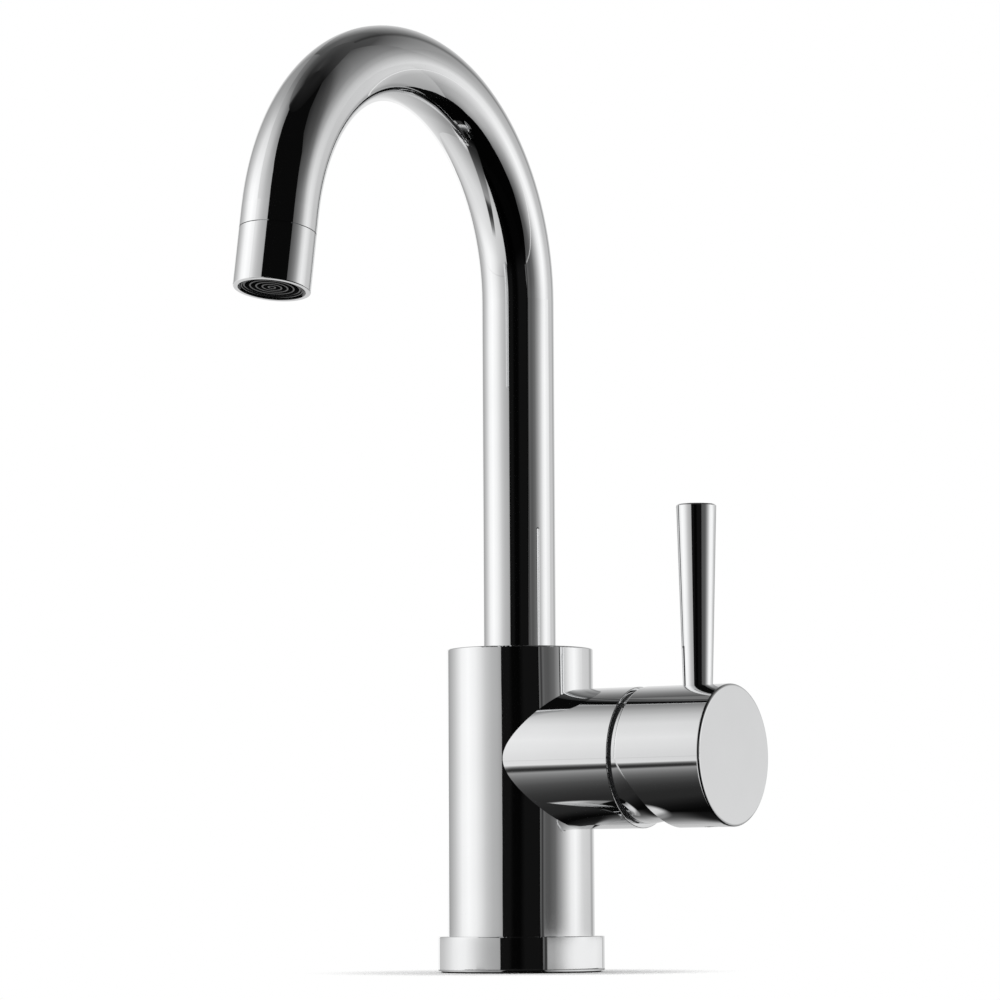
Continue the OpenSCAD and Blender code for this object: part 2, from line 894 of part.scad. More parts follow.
// Brass foot of the spout, with its ring grooves and the arc groove of the stop
module spout_nipple() {
  half_arc = swing_max + asin(stop_dog_r / stop_groove_r) + 1;
  color(BRASS)
    difference() {
      rotate_extrude()
        difference() {
          union() {
            ring_profile(nipple_bore_r, tube_r, nipple_z, nipple_top_z);
            ring_profile(nipple_bore_r, tube_in_r - thread_gap, nipple_z, nipple_top_z + spigot_l);
          }
          ring_profile(lower_glide_in_r, tube_r + over, lower_glide_z, lower_glide_z + lower_glide_w);
          for (z = [lower_o_ring_z, upper_o_ring_z])
            ring_profile(o_ring_groove_r, tube_r + over, z - o_ring_groove_w / 2, z + o_ring_groove_w / 2);
        }
      rotate([0, 0, 90 - half_arc])
        rotate_extrude(angle = 2 * half_arc)
          ring_profile(stop_groove_r, tube_r + over, stop_z - stop_groove_w / 2, stop_z + stop_groove_w / 2);
    }
}

// Bearing ring in the nipple's lowest groove
module lower_glide_ring() {
  color(DARK_PLASTIC)
    ring(
      lower_glide_in_r + run, socket_r - run,
      lower_glide_z + run, lower_glide_z + lower_glide_w - run
    );
}

module o_ring(z) {
  color(RUBBER)
    translate([0, 0, z])
      rotate_extrude()
        translate([o_ring_mid_r, 0])
          circle(o_ring_r);
}

module lower_o_ring() {
  o_ring(lower_o_ring_z);
}

module upper_o_ring() {
  o_ring(upper_o_ring_z);
}

// Turned end of the spout: a spigot in the tube, the flush tail and the collar's thread
module spout_end_piece() {
  color(CHROME)
    at_bend_end()
      rotate_extrude() {
        ring_profile(end_bore_r, tube_in_r - slip, -end_spigot_l, tail_l);
        ring_profile(end_bore_r, tube_r, seam, tail_l);
        ring_profile(end_bore_r, end_thread_r, tail_l - over, tail_l + end_thread_l);
      }
}

// Collar that screws on the end piece and holds the aerator, flush with the tube
module outlet_collar() {
  color(CHROME)
    at_outlet()
      rotate_extrude()
        difference() {
          ring_profile(0, tube_r, collar_gap, collar_l);
          ring_profile(-over, collar_bore_r, -over, collar_l - lip_t);
          ring_profile(-over, opening_r, -over, collar_l + over);
          round_corner([tube_r, collar_l], rim_round, [1, 1]);
        }
}

// Flat seal between the end piece and the aerator
module collar_gasket() {
  color(RUBBER)
    at_outlet()
      ring(end_bore_r, aerator_r, end_thread_l, aerator_z);
}

// Cup of the aerator: it hangs on the collar's lip, and its foot frames the grille
module aerator_housing() {
  step_z = collar_l - lip_t;
  foot_round = 0.2;
  color(DARK_PLASTIC)
    at_outlet()
      rotate_extrude()
        difference() {
          union() {
            ring_profile(aerator_bore_r, aerator_r, aerator_z, step_z);
            ring_profile(aerator_bore_r, aerator_foot_r, aerator_z, aerator_end);
          }
          round_corner([aerator_foot_r, aerator_end], foot_round, [1, 1]);
        }
}

// Domed strainer ahead of the aerator
module inlet_strainer() {
  wall = 0.6;
  cap_r = 7;
  ball_r = 12;
  ball_z = jet_plate_z + sqrt(ball_r * ball_r - cap_r * cap_r);
  color(WHITE_PLASTIC)
    at_outlet()
      rotate_extrude()
        union() {
          ring_profile(cap_r - wall, insert_r, jet_plate_z - wall, jet_plate_z);
          intersection() {
            translate([0, ball_z])
              difference() {
                circle(ball_r);
                circle(ball_r - wall);
              }
            ring_profile(0, cap_r, jet_plate_z - cap_r, jet_plate_z);
          }
        }
}

// Plate whose ring of small holes makes the jets
module jet_plate() {
  color(GREY_PLASTIC)
    at_outlet()
      difference() {
        ring(0, insert_r, jet_plate_z, jet_plate_z + jet_plate_t);
        for (turn = [0 : 30 : 330])
          rotate([0, 0, turn])
            translate([jet_ring_r, 0, jet_plate_z - over])
              cylinder(r = jet_r, h = jet_plate_t + 2 * over);
      }
}

// Fine screen under the jets: a thin rim with crossed bars
module mesh_screen() {
  rim_in_r = insert_r - 0.7;
  bar_r = insert_r - 0.3;
  color(STEEL)
    at_outlet()
      translate([0, 0, mesh_z])
        linear_extrude(mesh_t) {
          difference() {
            circle(insert_r);
            circle(rim_in_r);
          }
          intersection() {
            circle(bar_r);
            for (place = [-2 * mesh_pitch : mesh_pitch : 2 * mesh_pitch]) {
              translate([place - mesh_bar / 2, -bar_r])
                square([mesh_bar, 2 * bar_r]);
              translate([-bar_r, place - mesh_bar / 2])
                square([2 * bar_r, mesh_bar]);
            }
          }
        }
}

// Outlet grille: concentric rings on six spokes, with a rim that sits in the aerator's foot
module outlet_grille() {
  rim_r = aerator_bore_r - run;
  color(DARK_PLASTIC)
    at_outlet()
      translate([0, 0, grille_end - grille_h]) {
        for (n = [0 : grille_rings - 1])
          grille_ring(grille_centre_r + n * grille_pitch, rim_r);
        ring(rim_r - grille_line, rim_r, 0, spoke_h);
        linear_extrude(spoke_h)
          intersection() {
            circle(rim_r);
            for (turn = [0 : 60 : 120])
              rotate(turn)
                translate([-rim_r, -grille_line / 2])
                  square([2 * rim_r, grille_line]);
          }
      }
}

// One ring of the grille, kept inside the rim
module grille_ring(mid_r, rim_r) {
  ring(mid_r - grille_line / 2, min(mid_r + grille_line / 2, rim_r), 0, grille_h);
}

base_gasket();
base_ring();
body();
top_glide_ring();
swing_stop_screw();
cartridge_base();
front_inlet_seal();
rear_inlet_seal();
outlet_seal();
cartridge_housing();
fixed_disc();
cartridge_nut();
limiter_ring();
dome_seat_ring();
dome_cover();
moving_disc();
disc_carrier();
cartridge_rotor();
pivot_pin();
stem();
handle_hub();
lever_rod();
handle_grub_screw();
screw_plug();
spout_tube();
spout_nipple();
lower_glide_ring();
lower_o_ring();
upper_o_ring();
spout_end_piece();
outlet_collar();
collar_gasket();
aerator_housing();
inlet_strainer();
jet_plate();
mesh_screen();
outlet_grille();
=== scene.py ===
import json
import math

import bpy
from mathutils import Matrix, Vector


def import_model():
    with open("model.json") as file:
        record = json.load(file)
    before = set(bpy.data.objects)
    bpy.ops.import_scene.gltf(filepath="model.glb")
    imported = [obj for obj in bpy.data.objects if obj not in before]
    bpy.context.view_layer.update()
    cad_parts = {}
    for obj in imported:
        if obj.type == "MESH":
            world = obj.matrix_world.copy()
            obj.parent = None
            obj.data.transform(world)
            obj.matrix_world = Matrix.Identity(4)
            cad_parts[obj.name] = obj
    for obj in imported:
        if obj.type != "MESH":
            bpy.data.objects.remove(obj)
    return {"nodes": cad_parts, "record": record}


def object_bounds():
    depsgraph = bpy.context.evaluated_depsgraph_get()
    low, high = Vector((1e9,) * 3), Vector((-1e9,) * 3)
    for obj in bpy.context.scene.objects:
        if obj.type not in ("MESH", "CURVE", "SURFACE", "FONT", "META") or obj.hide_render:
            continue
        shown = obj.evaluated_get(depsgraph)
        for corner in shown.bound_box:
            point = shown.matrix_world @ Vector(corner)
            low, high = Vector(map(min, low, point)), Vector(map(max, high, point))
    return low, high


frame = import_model()
CAD_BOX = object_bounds()
NODES = frame["nodes"]

# The camera: where it stands round the tap, its height and distance in metres, and its aim in degrees
CAM_AZIMUTH = 32.295
CAM_HEIGHT = 0.02315
CAM_DISTANCE = 1.3984
CAM_YAW = 0.265
CAM_TILT = 5.63
CAM_ROLL = -0.308
CAM_LENS = 147.2486
CAM_SENSOR = 36.0
CAM_NEAR = 0.05
CAM_FAR = 50.0

STUDIO_CENTRE = Vector((0.0, -0.03, 0.13))

# Most of a noise lies between these values
NOISE_LOW = 0.3
NOISE_HIGH = 0.7

# How a card's UV holds its angles in degrees
AZIMUTH_START = -360.0
AZIMUTH_SPAN = 720.0
ELEVATION_START = -90.0
ELEVATION_SPAN = 180.0


def linear(v):
    """The linear value of a display value from 0 to 1."""
    return v / 12.92 if v <= 0.04045 else ((v + 0.055) / 1.055) ** 2.4


class Tree:
    """A short way to write a node tree."""

    def __init__(self, name, world=False):
        self.owner = bpy.data.worlds.new(name) if world else bpy.data.materials.new(name)
        self.owner.use_nodes = True
        self.tree = self.owner.node_tree
        self.tree.nodes.clear()

    def node(self, kind, settings=None, **inputs):
        n = self.tree.nodes.new(kind)
        for key, value in (settings or {}).items():
            setattr(n, key, value)
        for key, value in inputs.items():
            self.put(n.inputs[key.replace("_", " ")], value)
        return n

    def put(self, socket, value):
        if isinstance(value, bpy.types.NodeSocket):
            self.tree.links.new(value, socket)
        else:
            socket.default_value = value

    def math(self, operation, *values):
        n = self.node("ShaderNodeMath", {"operation": operation})
        for socket, value in zip(n.inputs, values):
            self.put(socket, value)
        return n.outputs[0]

    def between(self, value, low, high, to_low=0.0, to_high=1.0, ease="LINEAR"):
        n = self.node("ShaderNodeMapRange", {"interpolation_type": ease}, Value=value,
                      From_Min=low, From_Max=high, To_Min=to_low, To_Max=to_high)
        return n.outputs["Result"]

    def spread(self, noise, to_low=0.0, to_high=1.0):
        return self.between(noise, NOISE_LOW, NOISE_HIGH, to_low, to_high)

    def fade(self, value, full, none):
        """1 on the full side of a soft edge and 0 beyond it."""
        return self.between(value, none, full, ease="SMOOTHSTEP")

    def window(self, value, low_edge, high_edge):
        """1 between two soft edges, each a (full, none) pair, and 0 outside them."""
        return self.math("MULTIPLY", self.fade(value, *low_edge), self.fade(value, *high_edge))

    def weighed(self, x, x_share, y, y_share):
        return self.math("ADD", self.math("MULTIPLY", x, x_share), self.math("MULTIPLY", y, y_share))

    def distance(self, x, y):
        return self.math("SQRT", self.weighed(x, x, y, y))

    def stops(self, value, pairs):
        """A ramp along a value, from (value, display grey) pairs."""
        low, high = pairs[0][0], pairs[-1][0]
        n = self.node("ShaderNodeValToRGB", None, Fac=self.between(value, low, high))
        found = n.color_ramp.elements
        while len(found) < len(pairs):
            found.new(0.5)
        for element, (place, grey) in zip(found, pairs):
            element.position = (place - low) / (high - low)
            element.color = (*(linear(grey),) * 3, 1.0)
        return n.outputs["Color"]

    def mix(self, factor, a, b, blend="MIX"):
        n = self.node("ShaderNodeMix", {"data_type": "RGBA", "blend_type": blend})
        self.put(n.inputs[0], factor)
        for socket, value in ((n.inputs[6], a), (n.inputs[7], b)):
            if not isinstance(value, bpy.types.NodeSocket):
                value = (*value, 1.0)
            self.put(socket, value)
        return n.outputs[2]

    def tones(self, noise, colour, darkest):
        """The colour, darkened down to a share of it where the noise is low."""
        return self.mix(self.spread(noise), tuple(c * darkest for c in colour), colour)

    def place(self):
        """The point on the piece, in metres, as it lies at rest."""
        return self.node("ShaderNodeTexCoord").outputs["Object"]

    def noise(self, scale, detail, roughness, stretch=None):
        where = self.place()
        if stretch is not None:
            where = self.node("ShaderNodeMapping", None, Vector=where, Scale=stretch).outputs[0]
        n = self.node("ShaderNodeTexNoise", None, Vector=where, Scale=scale, Detail=detail, Roughness=roughness)
        return n.outputs["Fac"]

    def bump(self, height, strength, distance):
        n = self.node("ShaderNodeBump", None, Height=height, Strength=strength, Distance=distance)
        return n.outputs["Normal"]

    def over(self, cover, shader):
        """The shader where cover is 1, and what lies behind it where cover is 0."""
        clear = self.node("ShaderNodeBsdfTransparent")
        n = self.node("ShaderNodeMixShader")
        for socket, value in zip(n.inputs, (cover, clear.outputs[0], shader)):
            self.put(socket, value)
        return n.outputs[0]

    def surface(self, shader):
        out = self.node("ShaderNodeOutputMaterial")
        self.tree.links.new(shader, out.inputs["Surface"])
        return self.owner

    def principled(self, **inputs):
        return self.surface(self.node("ShaderNodeBsdfPrincipled", None, **inputs).outputs[0])


# Materials of the tap
def polished_chrome(name, tint, rough):
    """Bright plated chrome, with the faint cloudiness that polishing and wiping leave."""
    fine_share = 0.3
    t = Tree(name)
    cloud = t.noise(scale=38.0, detail=3.0, roughness=0.55)
    fine = t.noise(scale=420.0, detail=2.0, roughness=0.6)
    mixed = t.math("MULTIPLY_ADD", fine, fine_share, t.math("MULTIPLY", cloud, 1.0 - fine_share))
    colour = t.tones(cloud, tint, darkest=0.97)
    return t.principled(Base_Color=colour, Metallic=1.0, Roughness=t.spread(mixed, *rough))


def turned_metal(name, colour, rough, stretch, depth=0.00002):
    """Bare turned metal, with its fine tool marks."""
    t = Tree(name)
    marks = t.noise(scale=900.0, detail=2.0, roughness=0.6, stretch=stretch)
    tone = t.tones(marks, colour, darkest=0.86)
    normal = t.bump(marks, strength=0.25, distance=depth)
    return t.principled(Base_Color=tone, Metallic=1.0, Roughness=t.spread(marks, *rough), Normal=normal)


def moulded(name, colour, rough, grain, depth=0.00002, specular=0.5):
    """Moulded plastic, rubber or fired ceramic: a slightly uneven colour and a fine surface."""
    t = Tree(name)
    cloud = t.noise(scale=120.0, detail=2.0, roughness=0.5)
    fine = t.noise(scale=grain, detail=3.0, roughness=0.6)
    tone = t.tones(cloud, colour, darkest=0.9)
    normal = t.bump(fine, strength=0.3, distance=depth)
    return t.principled(Base_Color=tone, Roughness=t.spread(fine, *rough), Normal=normal, Specular_IOR_Level=specular)


LOOKS = {
    "chrome": polished_chrome("chrome_polished", (0.93, 0.935, 0.94), rough=(0.022, 0.045)),
    "brass": turned_metal("brass_turned", (0.80, 0.60, 0.28), rough=(0.22, 0.36), stretch=(1.0, 1.0, 0.08)),
    "steel": turned_metal("steel_drawn", (0.62, 0.62, 0.61), rough=(0.2, 0.34), stretch=(1.0, 1.0, 0.2)),
    "rubber": moulded("rubber_black", (0.018, 0.018, 0.019), rough=(0.5, 0.7), grain=1400.0, depth=0.00003),
    "ceramic": moulded("ceramic_fired", (0.80, 0.77, 0.70), rough=(0.16, 0.26), grain=2500.0, depth=0.00001),
    "white_plastic": moulded("plastic_white", (0.74, 0.74, 0.71), rough=(0.34, 0.48), grain=1100.0),
    "grey_plastic": moulded("plastic_grey", (0.22, 0.225, 0.23), rough=(0.34, 0.5), grain=1100.0),
    "red_plastic": moulded("plastic_red", (0.42, 0.035, 0.03), rough=(0.34, 0.5), grain=1100.0),
    "dark_plastic": moulded("plastic_dark", (0.035, 0.036, 0.038), rough=(0.3, 0.45), grain=1300.0),
}
OUTLET_LOOK = moulded("plastic_dark_glossy", (0.012, 0.0123, 0.0126), rough=(0.13, 0.2), grain=1300.0, depth=0.00001,
                      specular=0.25)
OUTLET_NODES = ("outlet_grille", "aerator_housing")

slot_of = {entry["node"]: entry["material_slot"] for entry in frame["record"]["subparts"]}
for node_name, o in NODES.items():
    for s in o.material_slots:
        s.material = OUTLET_LOOK if node_name in OUTLET_NODES else LOOKS[slot_of[node_name]]


# Round sheets lie flat, with the same number of points on each ring
SHEET_SIDES = 96


def circle(radius, height):
    turns = [2 * math.pi * k / SHEET_SIDES for k in range(SHEET_SIDES)]
    return [(radius * math.cos(a), radius * math.sin(a), height) for a in turns]


def ring_faces(rings, first=0):
    """Faces between rings of points, counted from the first ring's first point."""
    faces = []
    for i in range(rings - 1):
        start = first + i * SHEET_SIDES
        for k in range(SHEET_SIDES):
            a, b = start + k, start + (k + 1) % SHEET_SIDES
            faces.append((a, a + SHEET_SIDES, b + SHEET_SIDES, b))
    return faces


def add_mesh(name, verts, faces, material):
    mesh = bpy.data.meshes.new(name)
    mesh.from_pydata(verts, [], faces)
    mesh.materials.append(material)
    o = bpy.data.objects.new(name, mesh)
    bpy.context.scene.collection.objects.link(o)
    return o


# The studio: cards round the tap that only show in what it reflects
def studio_point(azimuth, elevation, radius):
    """A point of the studio. Azimuth 0 is the camera's side and grows to the right in the picture."""
    a, e = math.radians(azimuth + CAM_AZIMUTH), math.radians(elevation)
    out = Vector((math.sin(a) * math.cos(e), -math.cos(a) * math.cos(e), math.sin(e)))
    return STUDIO_CENTRE + out * radius


def follow(pairs, value):
    """The value at one place along (place, value) pairs."""
    if value <= pairs[0][0]:
        return pairs[0][1]
    for (p0, v0), (p1, v1) in zip(pairs, pairs[1:]):
        if value <= p1:
            return v0 + (v1 - v0) * (value - p0) / (p1 - p0)
    return pairs[-1][1]


def both(value):
    """Pairs that keep one value at every elevation."""
    return [(-90.0, value), (90.0, value)]


def hide_but_mirrored(o):
    """A card of the studio: only reflections show it."""
    o.visible_camera = False
    o.visible_diffuse = False
    o.visible_transmission = False
    o.visible_volume_scatter = False
    o.visible_shadow = False


def card(name, left, right, low, high, radius, material, columns=36, rows=72):
    """A curved card between a left and a right edge, each given as (elevation, azimuth) pairs.

    Its UV holds the azimuth and the elevation."""
    verts, uvs, faces = [], [], []
    for i in range(rows + 1):
        e = low + (high - low) * i / rows
        a0, a1 = follow(left, e), follow(right, e)
        for k in range(columns + 1):
            a = a0 + (a1 - a0) * k / columns
            verts.append(tuple(studio_point(a, e, radius)))
            uvs.append(((a - AZIMUTH_START) / AZIMUTH_SPAN, (e - ELEVATION_START) / ELEVATION_SPAN))
    wide = columns + 1
    for i in range(rows):
        for k in range(columns):
            j = i * wide + k
            faces.append((j, j + 1, j + wide + 1, j + wide))
    o = add_mesh(name, verts, faces, material)
    layer = o.data.uv_layers.new(name="UVMap")
    for loop in o.data.loops:
        layer.data[loop.index].uv = uvs[loop.vertex_index]
    hide_but_mirrored(o)


def angles(t):
    """Azimuth and elevation in degrees, from the card's UV."""
    uv = t.node("ShaderNodeTexCoord").outputs["UV"]
    parts = t.node("ShaderNodeSeparateXYZ", None, Vector=uv)
    azimuth = t.math("MULTIPLY_ADD", parts.outputs["X"], AZIMUTH_SPAN, AZIMUTH_START)
    elevation = t.math("MULTIPLY_ADD", parts.outputs["Y"], ELEVATION_SPAN, ELEVATION_START)
    return azimuth, elevation


def lit(t, colour):
    """A card's own even light."""
    return t.node("ShaderNodeEmission", None, Color=colour, Strength=1.0).outputs[0]


def even_card(name, grey):
    t = Tree(name)
    return t.surface(lit(t, (*(linear(grey),) * 3, 1.0)))


def panel_card(name, across, far_across, change, up):
    """A soft light panel: a ramp up it times a ramp across it, which turns into a second one between two elevations.

    Ramps are (angle, display grey) pairs."""
    t = Tree(name)
    azimuth, elevation = angles(t)
    share = t.between(elevation, *change)
    level = t.mix(share, t.stops(azimuth, across), t.stops(azimuth, far_across))
    return t.surface(lit(t, t.mix(1.0, level, t.stops(elevation, up), "MULTIPLY")))


# The dark flag in front
FRONT_LEFT = [(-89, 0), (-85, -8), (-75, -18), (-65, -25), (-50, -27), (-10, -28), (0, -29.5), (30, -30), (40, -33),
              (45, -37), (55, -44), (65, -53), (68, -58)]
FRONT_RIGHT = [(-89, 150), (-42, 150), (-41, 92), (-38.5, 80), (-36, 70), (-33, 65), (-29, 60), (-23, 55), (-19, 50),
               (-12, 45), (-8, 40), (-4, 36), (-2.7, 31), (-2.3, 29.6), (1.5, 29.6), (3, 29.5), (6, 31.5), (9, 32.5),
               (12, 34), (15, 41), (18, 47), (25, 49), (35, 49), (45, 42), (55, 43), (65, 56), (68, 60)]
FRONT_ACROSS = [(-60, 0.07), (-18, 0.07), (-12, 0.02), (-2, 0.015), (6, 0.07), (26, 0.07), (30, 0.05), (150, 0.05)]
FRONT_HIGH = [(-60, 0.04), (150, 0.04)]
FRONT_UP = [(-89, 0.5), (-12, 0.5), (-3, 1.0), (68, 1.0)]
card("front_flag", FRONT_LEFT, FRONT_RIGHT, low=-89.0, high=68.0, radius=3.6, columns=36, rows=157,
     material=panel_card("card_front", FRONT_ACROSS, FRONT_HIGH, (12.0, 18.0), FRONT_UP))

# A dark corner behind the front flag's lower right edge
CORNER_LEFT = [(-42, 92), (-40, 108), (-38, 120), (-33, 131), (-31, 135), (-25, 140), (-19, 146)]
card("corner_flag", CORNER_LEFT, both(150.0), low=-42.0, high=-18.0, radius=3.61, columns=12, rows=24,
     material=even_card("card_corner", 0.03))

# The dim top
TOP_LOW = [(-180, 0.29), (-120, 0.36), (-100, 0.42), (-78, 0.42), (-66, 0.14), (-54, 0.06), (60, 0.07), (90, 0.22),
           (120, 0.27), (180, 0.30)]
TOP_HIGH = [(-180, 0.23), (-120, 0.19), (-90, 0.15), (-60, 0.13), (0, 0.12), (60, 0.13), (120, 0.20), (180, 0.23)]
TOP_UP = [(60, 1.0), (90, 1.0)]
card("top_flag", both(-180.0), both(180.0), low=67.0, high=90.0, radius=3.5,
     material=panel_card("card_top", TOP_LOW, TOP_HIGH, (67.0, 80.0), TOP_UP))

# The light panels on the left, at the back and on the right
LEFT_ACROSS = [(-156, 0.61), (-145, 0.67), (-135, 0.73), (-125, 0.80), (-115, 0.89), (-105, 0.98), (-90, 1.02),
               (-75, 0.97), (-65, 0.90), (-55, 0.80), (-45, 0.73), (-35, 0.69), (-28, 0.62), (0, 0.58)]
LEFT_LOW = [(-156, 0.97), (-145, 0.99), (-125, 1.02), (-105, 1.03), (-90, 1.03), (-75, 1.01), (-55, 0.96),
            (-35, 0.92), (-10, 0.86), (0, 0.8)]
LEFT_UP = [(-89, 0.55), (-75, 0.65), (-65, 0.72), (-55, 0.79), (-45, 0.85), (-35, 0.87), (-25, 0.90), (-12, 0.99),
           (0, 1.0), (12, 1.02), (25, 1.02), (35, 0.96), (45, 0.90), (55, 0.76), (65, 0.56), (72, 0.37)]
card("left_panel", both(-156.0), both(0.0), low=-89.0, high=72.0, radius=4.2,
     material=panel_card("card_left", LEFT_ACROSS, LEFT_LOW, (-5.0, -30.0), LEFT_UP))

BACK_ACROSS = [(116, 0.87), (125, 0.84), (138, 0.82), (146, 0.66), (151, 0.72), (156, 0.84), (168, 0.92), (180, 0.95),
               (192, 1.02), (205, 1.02)]
BACK_HIGH = [(116, 0.57), (125, 0.59), (138, 0.62), (146, 0.45), (156, 0.64), (168, 0.73), (180, 0.77), (192, 0.72),
             (205, 0.67)]
BACK_UP = [(-75, 0.60), (-60, 0.64), (-45, 0.73), (-25, 0.82), (-10, 0.87), (0, 1.0), (5, 0.97), (20, 1.03),
           (32, 1.0), (38, 0.9), (45, 0.75), (55, 0.51), (70, 0.46)]
card("back_panel", both(116.0), both(205.0), low=-75.0, high=70.0, radius=4.0,
     material=panel_card("card_back", BACK_ACROSS, BACK_HIGH, (5.0, 30.0), BACK_UP))

RIGHT_ACROSS = [(27.5, 0.38), (31.0, 0.37), (32.4, 0.26), (33.6, 0.19), (34.8, 0.32), (36.6, 0.39), (39, 0.34),
                (45, 0.33), (55, 0.41), (65, 0.61), (75, 0.79), (85, 0.94), (95, 0.99), (105, 0.92), (118, 0.80)]
RIGHT_HIGH = [(27.5, 0.30), (45, 0.44), (55, 0.54), (65, 0.58), (75, 0.69), (85, 0.95), (95, 1.03), (105, 1.0),
              (118, 0.90)]
RIGHT_UP = [(-44, 0.54), (-30, 0.74), (-20, 0.79), (-8, 0.92), (0, 1.02), (8, 1.03), (15, 0.89), (25, 0.68),
            (35, 0.54), (45, 0.47), (70, 0.28)]
card("right_panel", both(27.5), both(118.0), low=-44.0, high=70.0, radius=4.1,
     material=panel_card("card_right", RIGHT_ACROSS, RIGHT_HIGH, (5.0, 28.0), RIGHT_UP))

# Two low cards for the base ring, which looks further down than the column
RING_RIGHT = [(30.0, 0.36), (31.6, 0.40), (32.8, 0.26), (34.4, 0.14), (35.6, 0.26), (36.9, 0.66), (46, 0.68),
              (54, 0.76), (62, 0.86), (70, 0.93), (79, 0.96), (123, 0.96), (150, 0.90)]
RING_LEFT = [(-156, 0.75), (-136, 0.80), (-120, 0.88), (-108, 0.95), (-96, 0.98), (-84, 0.97), (-72, 0.90),
             (-64, 0.83), (-56, 0.76), (-48, 0.70), (-40, 0.66), (-29, 0.63)]


def ring_card(side, left, right, across):
    material = panel_card("card_ring_" + side, across, across, (-90.0, 90.0), both(1.0))
    card("ring_panel_" + side, both(left), both(right), low=-3.1, high=-2.385, radius=3.55, columns=48, rows=1,
         material=material)


ring_card("right", 30.0, 150.0, RING_RIGHT)
ring_card("left", -156.0, -29.5, RING_LEFT)

# The table card, seen only in reflections. Its dark strip is painted shade: it starts beside the foot, darkest there,
# and runs away to the front left. Places on the strip are metres along it and across it, and each soft edge is a
# (full, none) pair
STRIP_FROM_X = 0.06
STRIP_AWAY = (-0.499, -0.8666)
STRIP_ENDS = ((0.0, -0.015), (0.52, 0.57))
STRIP_SIDES = ((-0.05, -0.066), (0.026, 0.042))
PAINTED_SHADE_ALONG_STRIP = [(0.0, 0.03), (0.015, 0.03), (0.025, 0.07), (0.035, 0.12), (0.045, 0.16), (0.065, 0.17), (0.09, 0.22),
               (0.13, 0.31), (0.17, 0.41), (0.21, 0.51), (0.25, 0.59), (0.268, 0.53), (0.285, 0.34), (0.305, 0.21),
               (0.33, 0.18), (0.355, 0.21), (0.39, 0.33), (0.43, 0.46), (0.47, 0.60), (0.51, 0.75), (0.55, 0.84)]

# Behind the strip the table is lighter towards the back, and darker under the barrel, as painted shade of the
# barrel. Here x counts from the strip's start
BACK_X_EDGES = ((-0.065, -0.078), (0.03, 0.05))
BACK_Y_EDGES = ((-0.012, -0.024), (0.058, 0.068))
PAINTED_SHADE_EDGE = (-0.026, -0.012)
TABLE_BACK = [(-0.004, 0.0), (0.0, 0.15), (0.006, 0.24), (0.015, 0.32), (0.025, 0.45), (0.035, 0.57), (0.045, 0.67),
              (0.06, 0.72), (0.08, 0.75)]
TABLE_PAINTED_SHADE = [(-0.004, 0.0), (0.0, 0.06), (0.02, 0.10), (0.035, 0.14), (0.06, 0.20), (0.08, 0.24)]

# Right in front of the foot: a painted reflection with painted contact shade, which the base ring's lower round
# shows, from its left to its right in the picture
FOOT_PAINTED_REFLECTION = [(-0.03, 0.55), (-0.027, 0.66), (-0.0237, 0.80), (-0.0184, 0.79), (-0.0131, 0.58), (-0.0072, 0.54),
               (-0.0064, 0.04), (0.008, 0.04), (0.0088, 0.45), (0.0115, 0.60), (0.0152, 0.77), (0.0205, 0.86),
               (0.0258, 0.82), (0.0285, 0.65), (0.03, 0.55)]
FOOT_RADIUS_EDGE = (0.0325, 0.0365)
FOOT_FRONT_EDGE = (-0.001, -0.006)

# The table card's rings, as (radius, height): just over the floor near the foot, and sinking further out
TABLE_RINGS = [(0.0273, -0.0001), (0.0284, -0.0001), (0.0292, 0.0003), (0.05, 0.0003), (0.075, 0.0003),
               (0.1, -0.003), (0.125, -0.006), (0.25, -0.006), (0.4, -0.006), (0.62, -0.006)]


def table_material():
    t = Tree("card_table")
    parts = t.node("ShaderNodeSeparateXYZ", None, Vector=t.place())
    tap_x, y = parts.outputs["X"], parts.outputs["Y"]
    x = t.math("ADD", tap_x, -STRIP_FROM_X)
    away = t.weighed(x, STRIP_AWAY[0], y, STRIP_AWAY[1])
    side = t.weighed(x, -STRIP_AWAY[1], y, STRIP_AWAY[0])
    # Painted shade under the barrel, turning into the lighter back of the table
    behind = t.mix(t.fade(x, *PAINTED_SHADE_EDGE), t.stops(y, TABLE_PAINTED_SHADE), t.stops(y, TABLE_BACK))
    # The lighter of the strip's painted shade and the table behind it
    table = t.mix(1.0, t.stops(away, PAINTED_SHADE_ALONG_STRIP), behind, "LIGHTEN")
    on_strip = t.math("MULTIPLY", t.window(side, *STRIP_SIDES), t.window(away, *STRIP_ENDS))
    on_back = t.math("MULTIPLY", t.window(y, *BACK_Y_EDGES), t.window(x, *BACK_X_EDGES))
    turn = math.radians(CAM_AZIMUTH)
    across = t.weighed(tap_x, math.cos(turn), y, math.sin(turn))
    nearer = t.weighed(tap_x, math.sin(turn), y, -math.cos(turn))
    # Painted reflection with painted contact shade, just in front of the foot
    near_foot = t.fade(t.distance(tap_x, y), *FOOT_RADIUS_EDGE)
    painted_foot_mask = t.math("MULTIPLY", near_foot, t.fade(nearer, *FOOT_FRONT_EDGE))
    cover = t.math("MAXIMUM", t.math("MAXIMUM", on_strip, on_back), painted_foot_mask)
    colour = t.mix(painted_foot_mask, table, t.stops(across, FOOT_PAINTED_REFLECTION))
    return t.surface(t.over(cover, lit(t, colour)))


def table_card():
    verts = [point for radius, height in TABLE_RINGS for point in circle(radius, height)]
    hide_but_mirrored(add_mesh("table_card", verts, ring_faces(len(TABLE_RINGS)), table_material()))


table_card()


# The world: white where it is seen or mirrored, and a plain level of light on everything else
WORLD_WHITE = (1.0, 1.0, 1.0, 1.0)
WORLD_LIGHT = 0.92


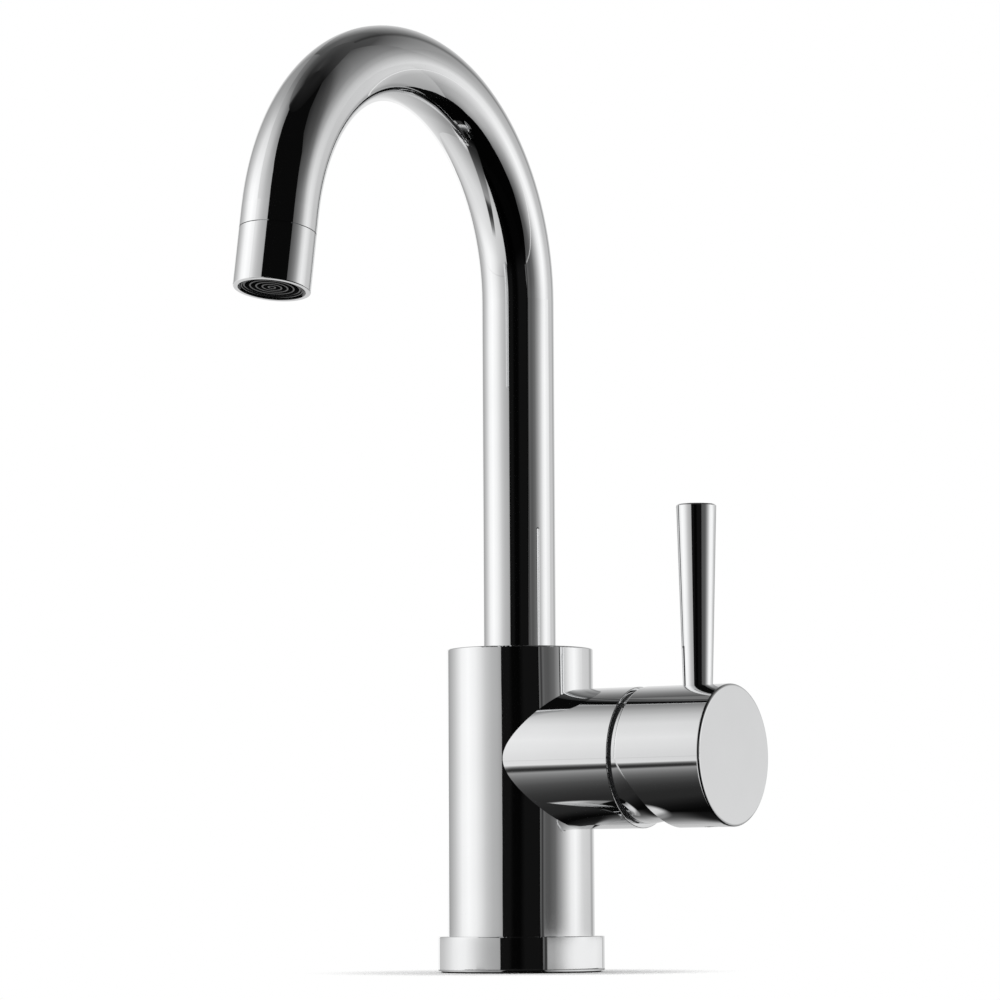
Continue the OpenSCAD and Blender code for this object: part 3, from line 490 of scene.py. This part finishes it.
def world():
    t = Tree("plain_white", world=True)
    path = t.node("ShaderNodeLightPath").outputs
    seen = t.math("MAXIMUM", path["Is Camera Ray"], path["Is Glossy Ray"])
    seen = t.math("MAXIMUM", seen, path["Is Transmission Ray"])
    level = t.between(seen, 0.0, 1.0, WORLD_LIGHT, 1.0)
    back = t.node("ShaderNodeBackground", None, Color=WORLD_WHITE, Strength=level)
    out = t.node("ShaderNodeOutputWorld")
    t.tree.links.new(back.outputs[0], out.inputs["Surface"])
    bpy.context.scene.world = t.owner


world()


# The floor: a pale round sheet, just under the tap, whose rim fades into the white
FLOOR_SOLID = 0.036
FLOOR_GONE = 0.08
FLOOR_EDGE = FLOOR_GONE * 1.02
FLOOR_RINGS = 40
FLOOR_DROP = 0.0002
FLOOR_TONES = ((0.93, 0.93, 0.93), (0.96, 0.96, 0.96))


def floor_material():
    t = Tree("floor_pale")
    parts = t.node("ShaderNodeSeparateXYZ", None, Vector=t.place())
    from_axis = t.distance(parts.outputs["X"], parts.outputs["Y"])
    shown = t.between(from_axis, FLOOR_SOLID, FLOOR_GONE, 1.0, 0.0, "SMOOTHERSTEP")
    colour = t.mix(t.noise(scale=60.0, detail=3.0, roughness=0.5), *FLOOR_TONES)
    sheet = t.node("ShaderNodeBsdfDiffuse", None, Color=colour)
    return t.surface(t.over(shown, sheet.outputs[0]))


def floor():
    verts = [(0.0, 0.0, 0.0)]
    for i in range(1, FLOOR_RINGS + 1):
        verts += circle(FLOOR_EDGE * i / FLOOR_RINGS, 0.0)
    middle = [(0, 1 + k, 1 + (k + 1) % SHEET_SIDES) for k in range(SHEET_SIDES)]
    o = add_mesh("floor", verts, middle + ring_faces(FLOOR_RINGS, first=1), floor_material())
    o.location = (0.0, 0.0, CAD_BOX[0].z - FLOOR_DROP)


floor()


def camera():
    azimuth, tilt, roll = math.radians(CAM_AZIMUTH), math.radians(CAM_TILT), math.radians(CAM_ROLL)
    heading = azimuth + math.radians(CAM_YAW)
    place = Vector((math.sin(azimuth) * CAM_DISTANCE, -math.cos(azimuth) * CAM_DISTANCE, CAM_HEIGHT))
    ahead = Vector((-math.sin(heading), math.cos(heading), 0))
    right = Vector((math.cos(heading), math.sin(heading), 0))
    up = Vector((0, 0, 1))
    aim = ahead * math.cos(tilt) + up * math.sin(tilt)
    over = up * math.cos(tilt) - ahead * math.sin(tilt)
    rolled_right = right * math.cos(roll) + over * math.sin(roll)
    rolled_over = over * math.cos(roll) - right * math.sin(roll)
    data = bpy.data.cameras.new("camera")
    data.lens, data.sensor_width = CAM_LENS, CAM_SENSOR
    data.clip_start, data.clip_end = CAM_NEAR, CAM_FAR
    o = bpy.data.objects.new("camera", data)
    bpy.context.scene.collection.objects.link(o)
    turn = Matrix((rolled_right, rolled_over, -aim)).transposed().to_4x4()
    o.matrix_world = Matrix.Translation(place) @ turn
    bpy.context.scene.camera = o


camera()
bpy.context.scene.view_settings.view_transform = "Standard"

bpy.context.view_layer.update()
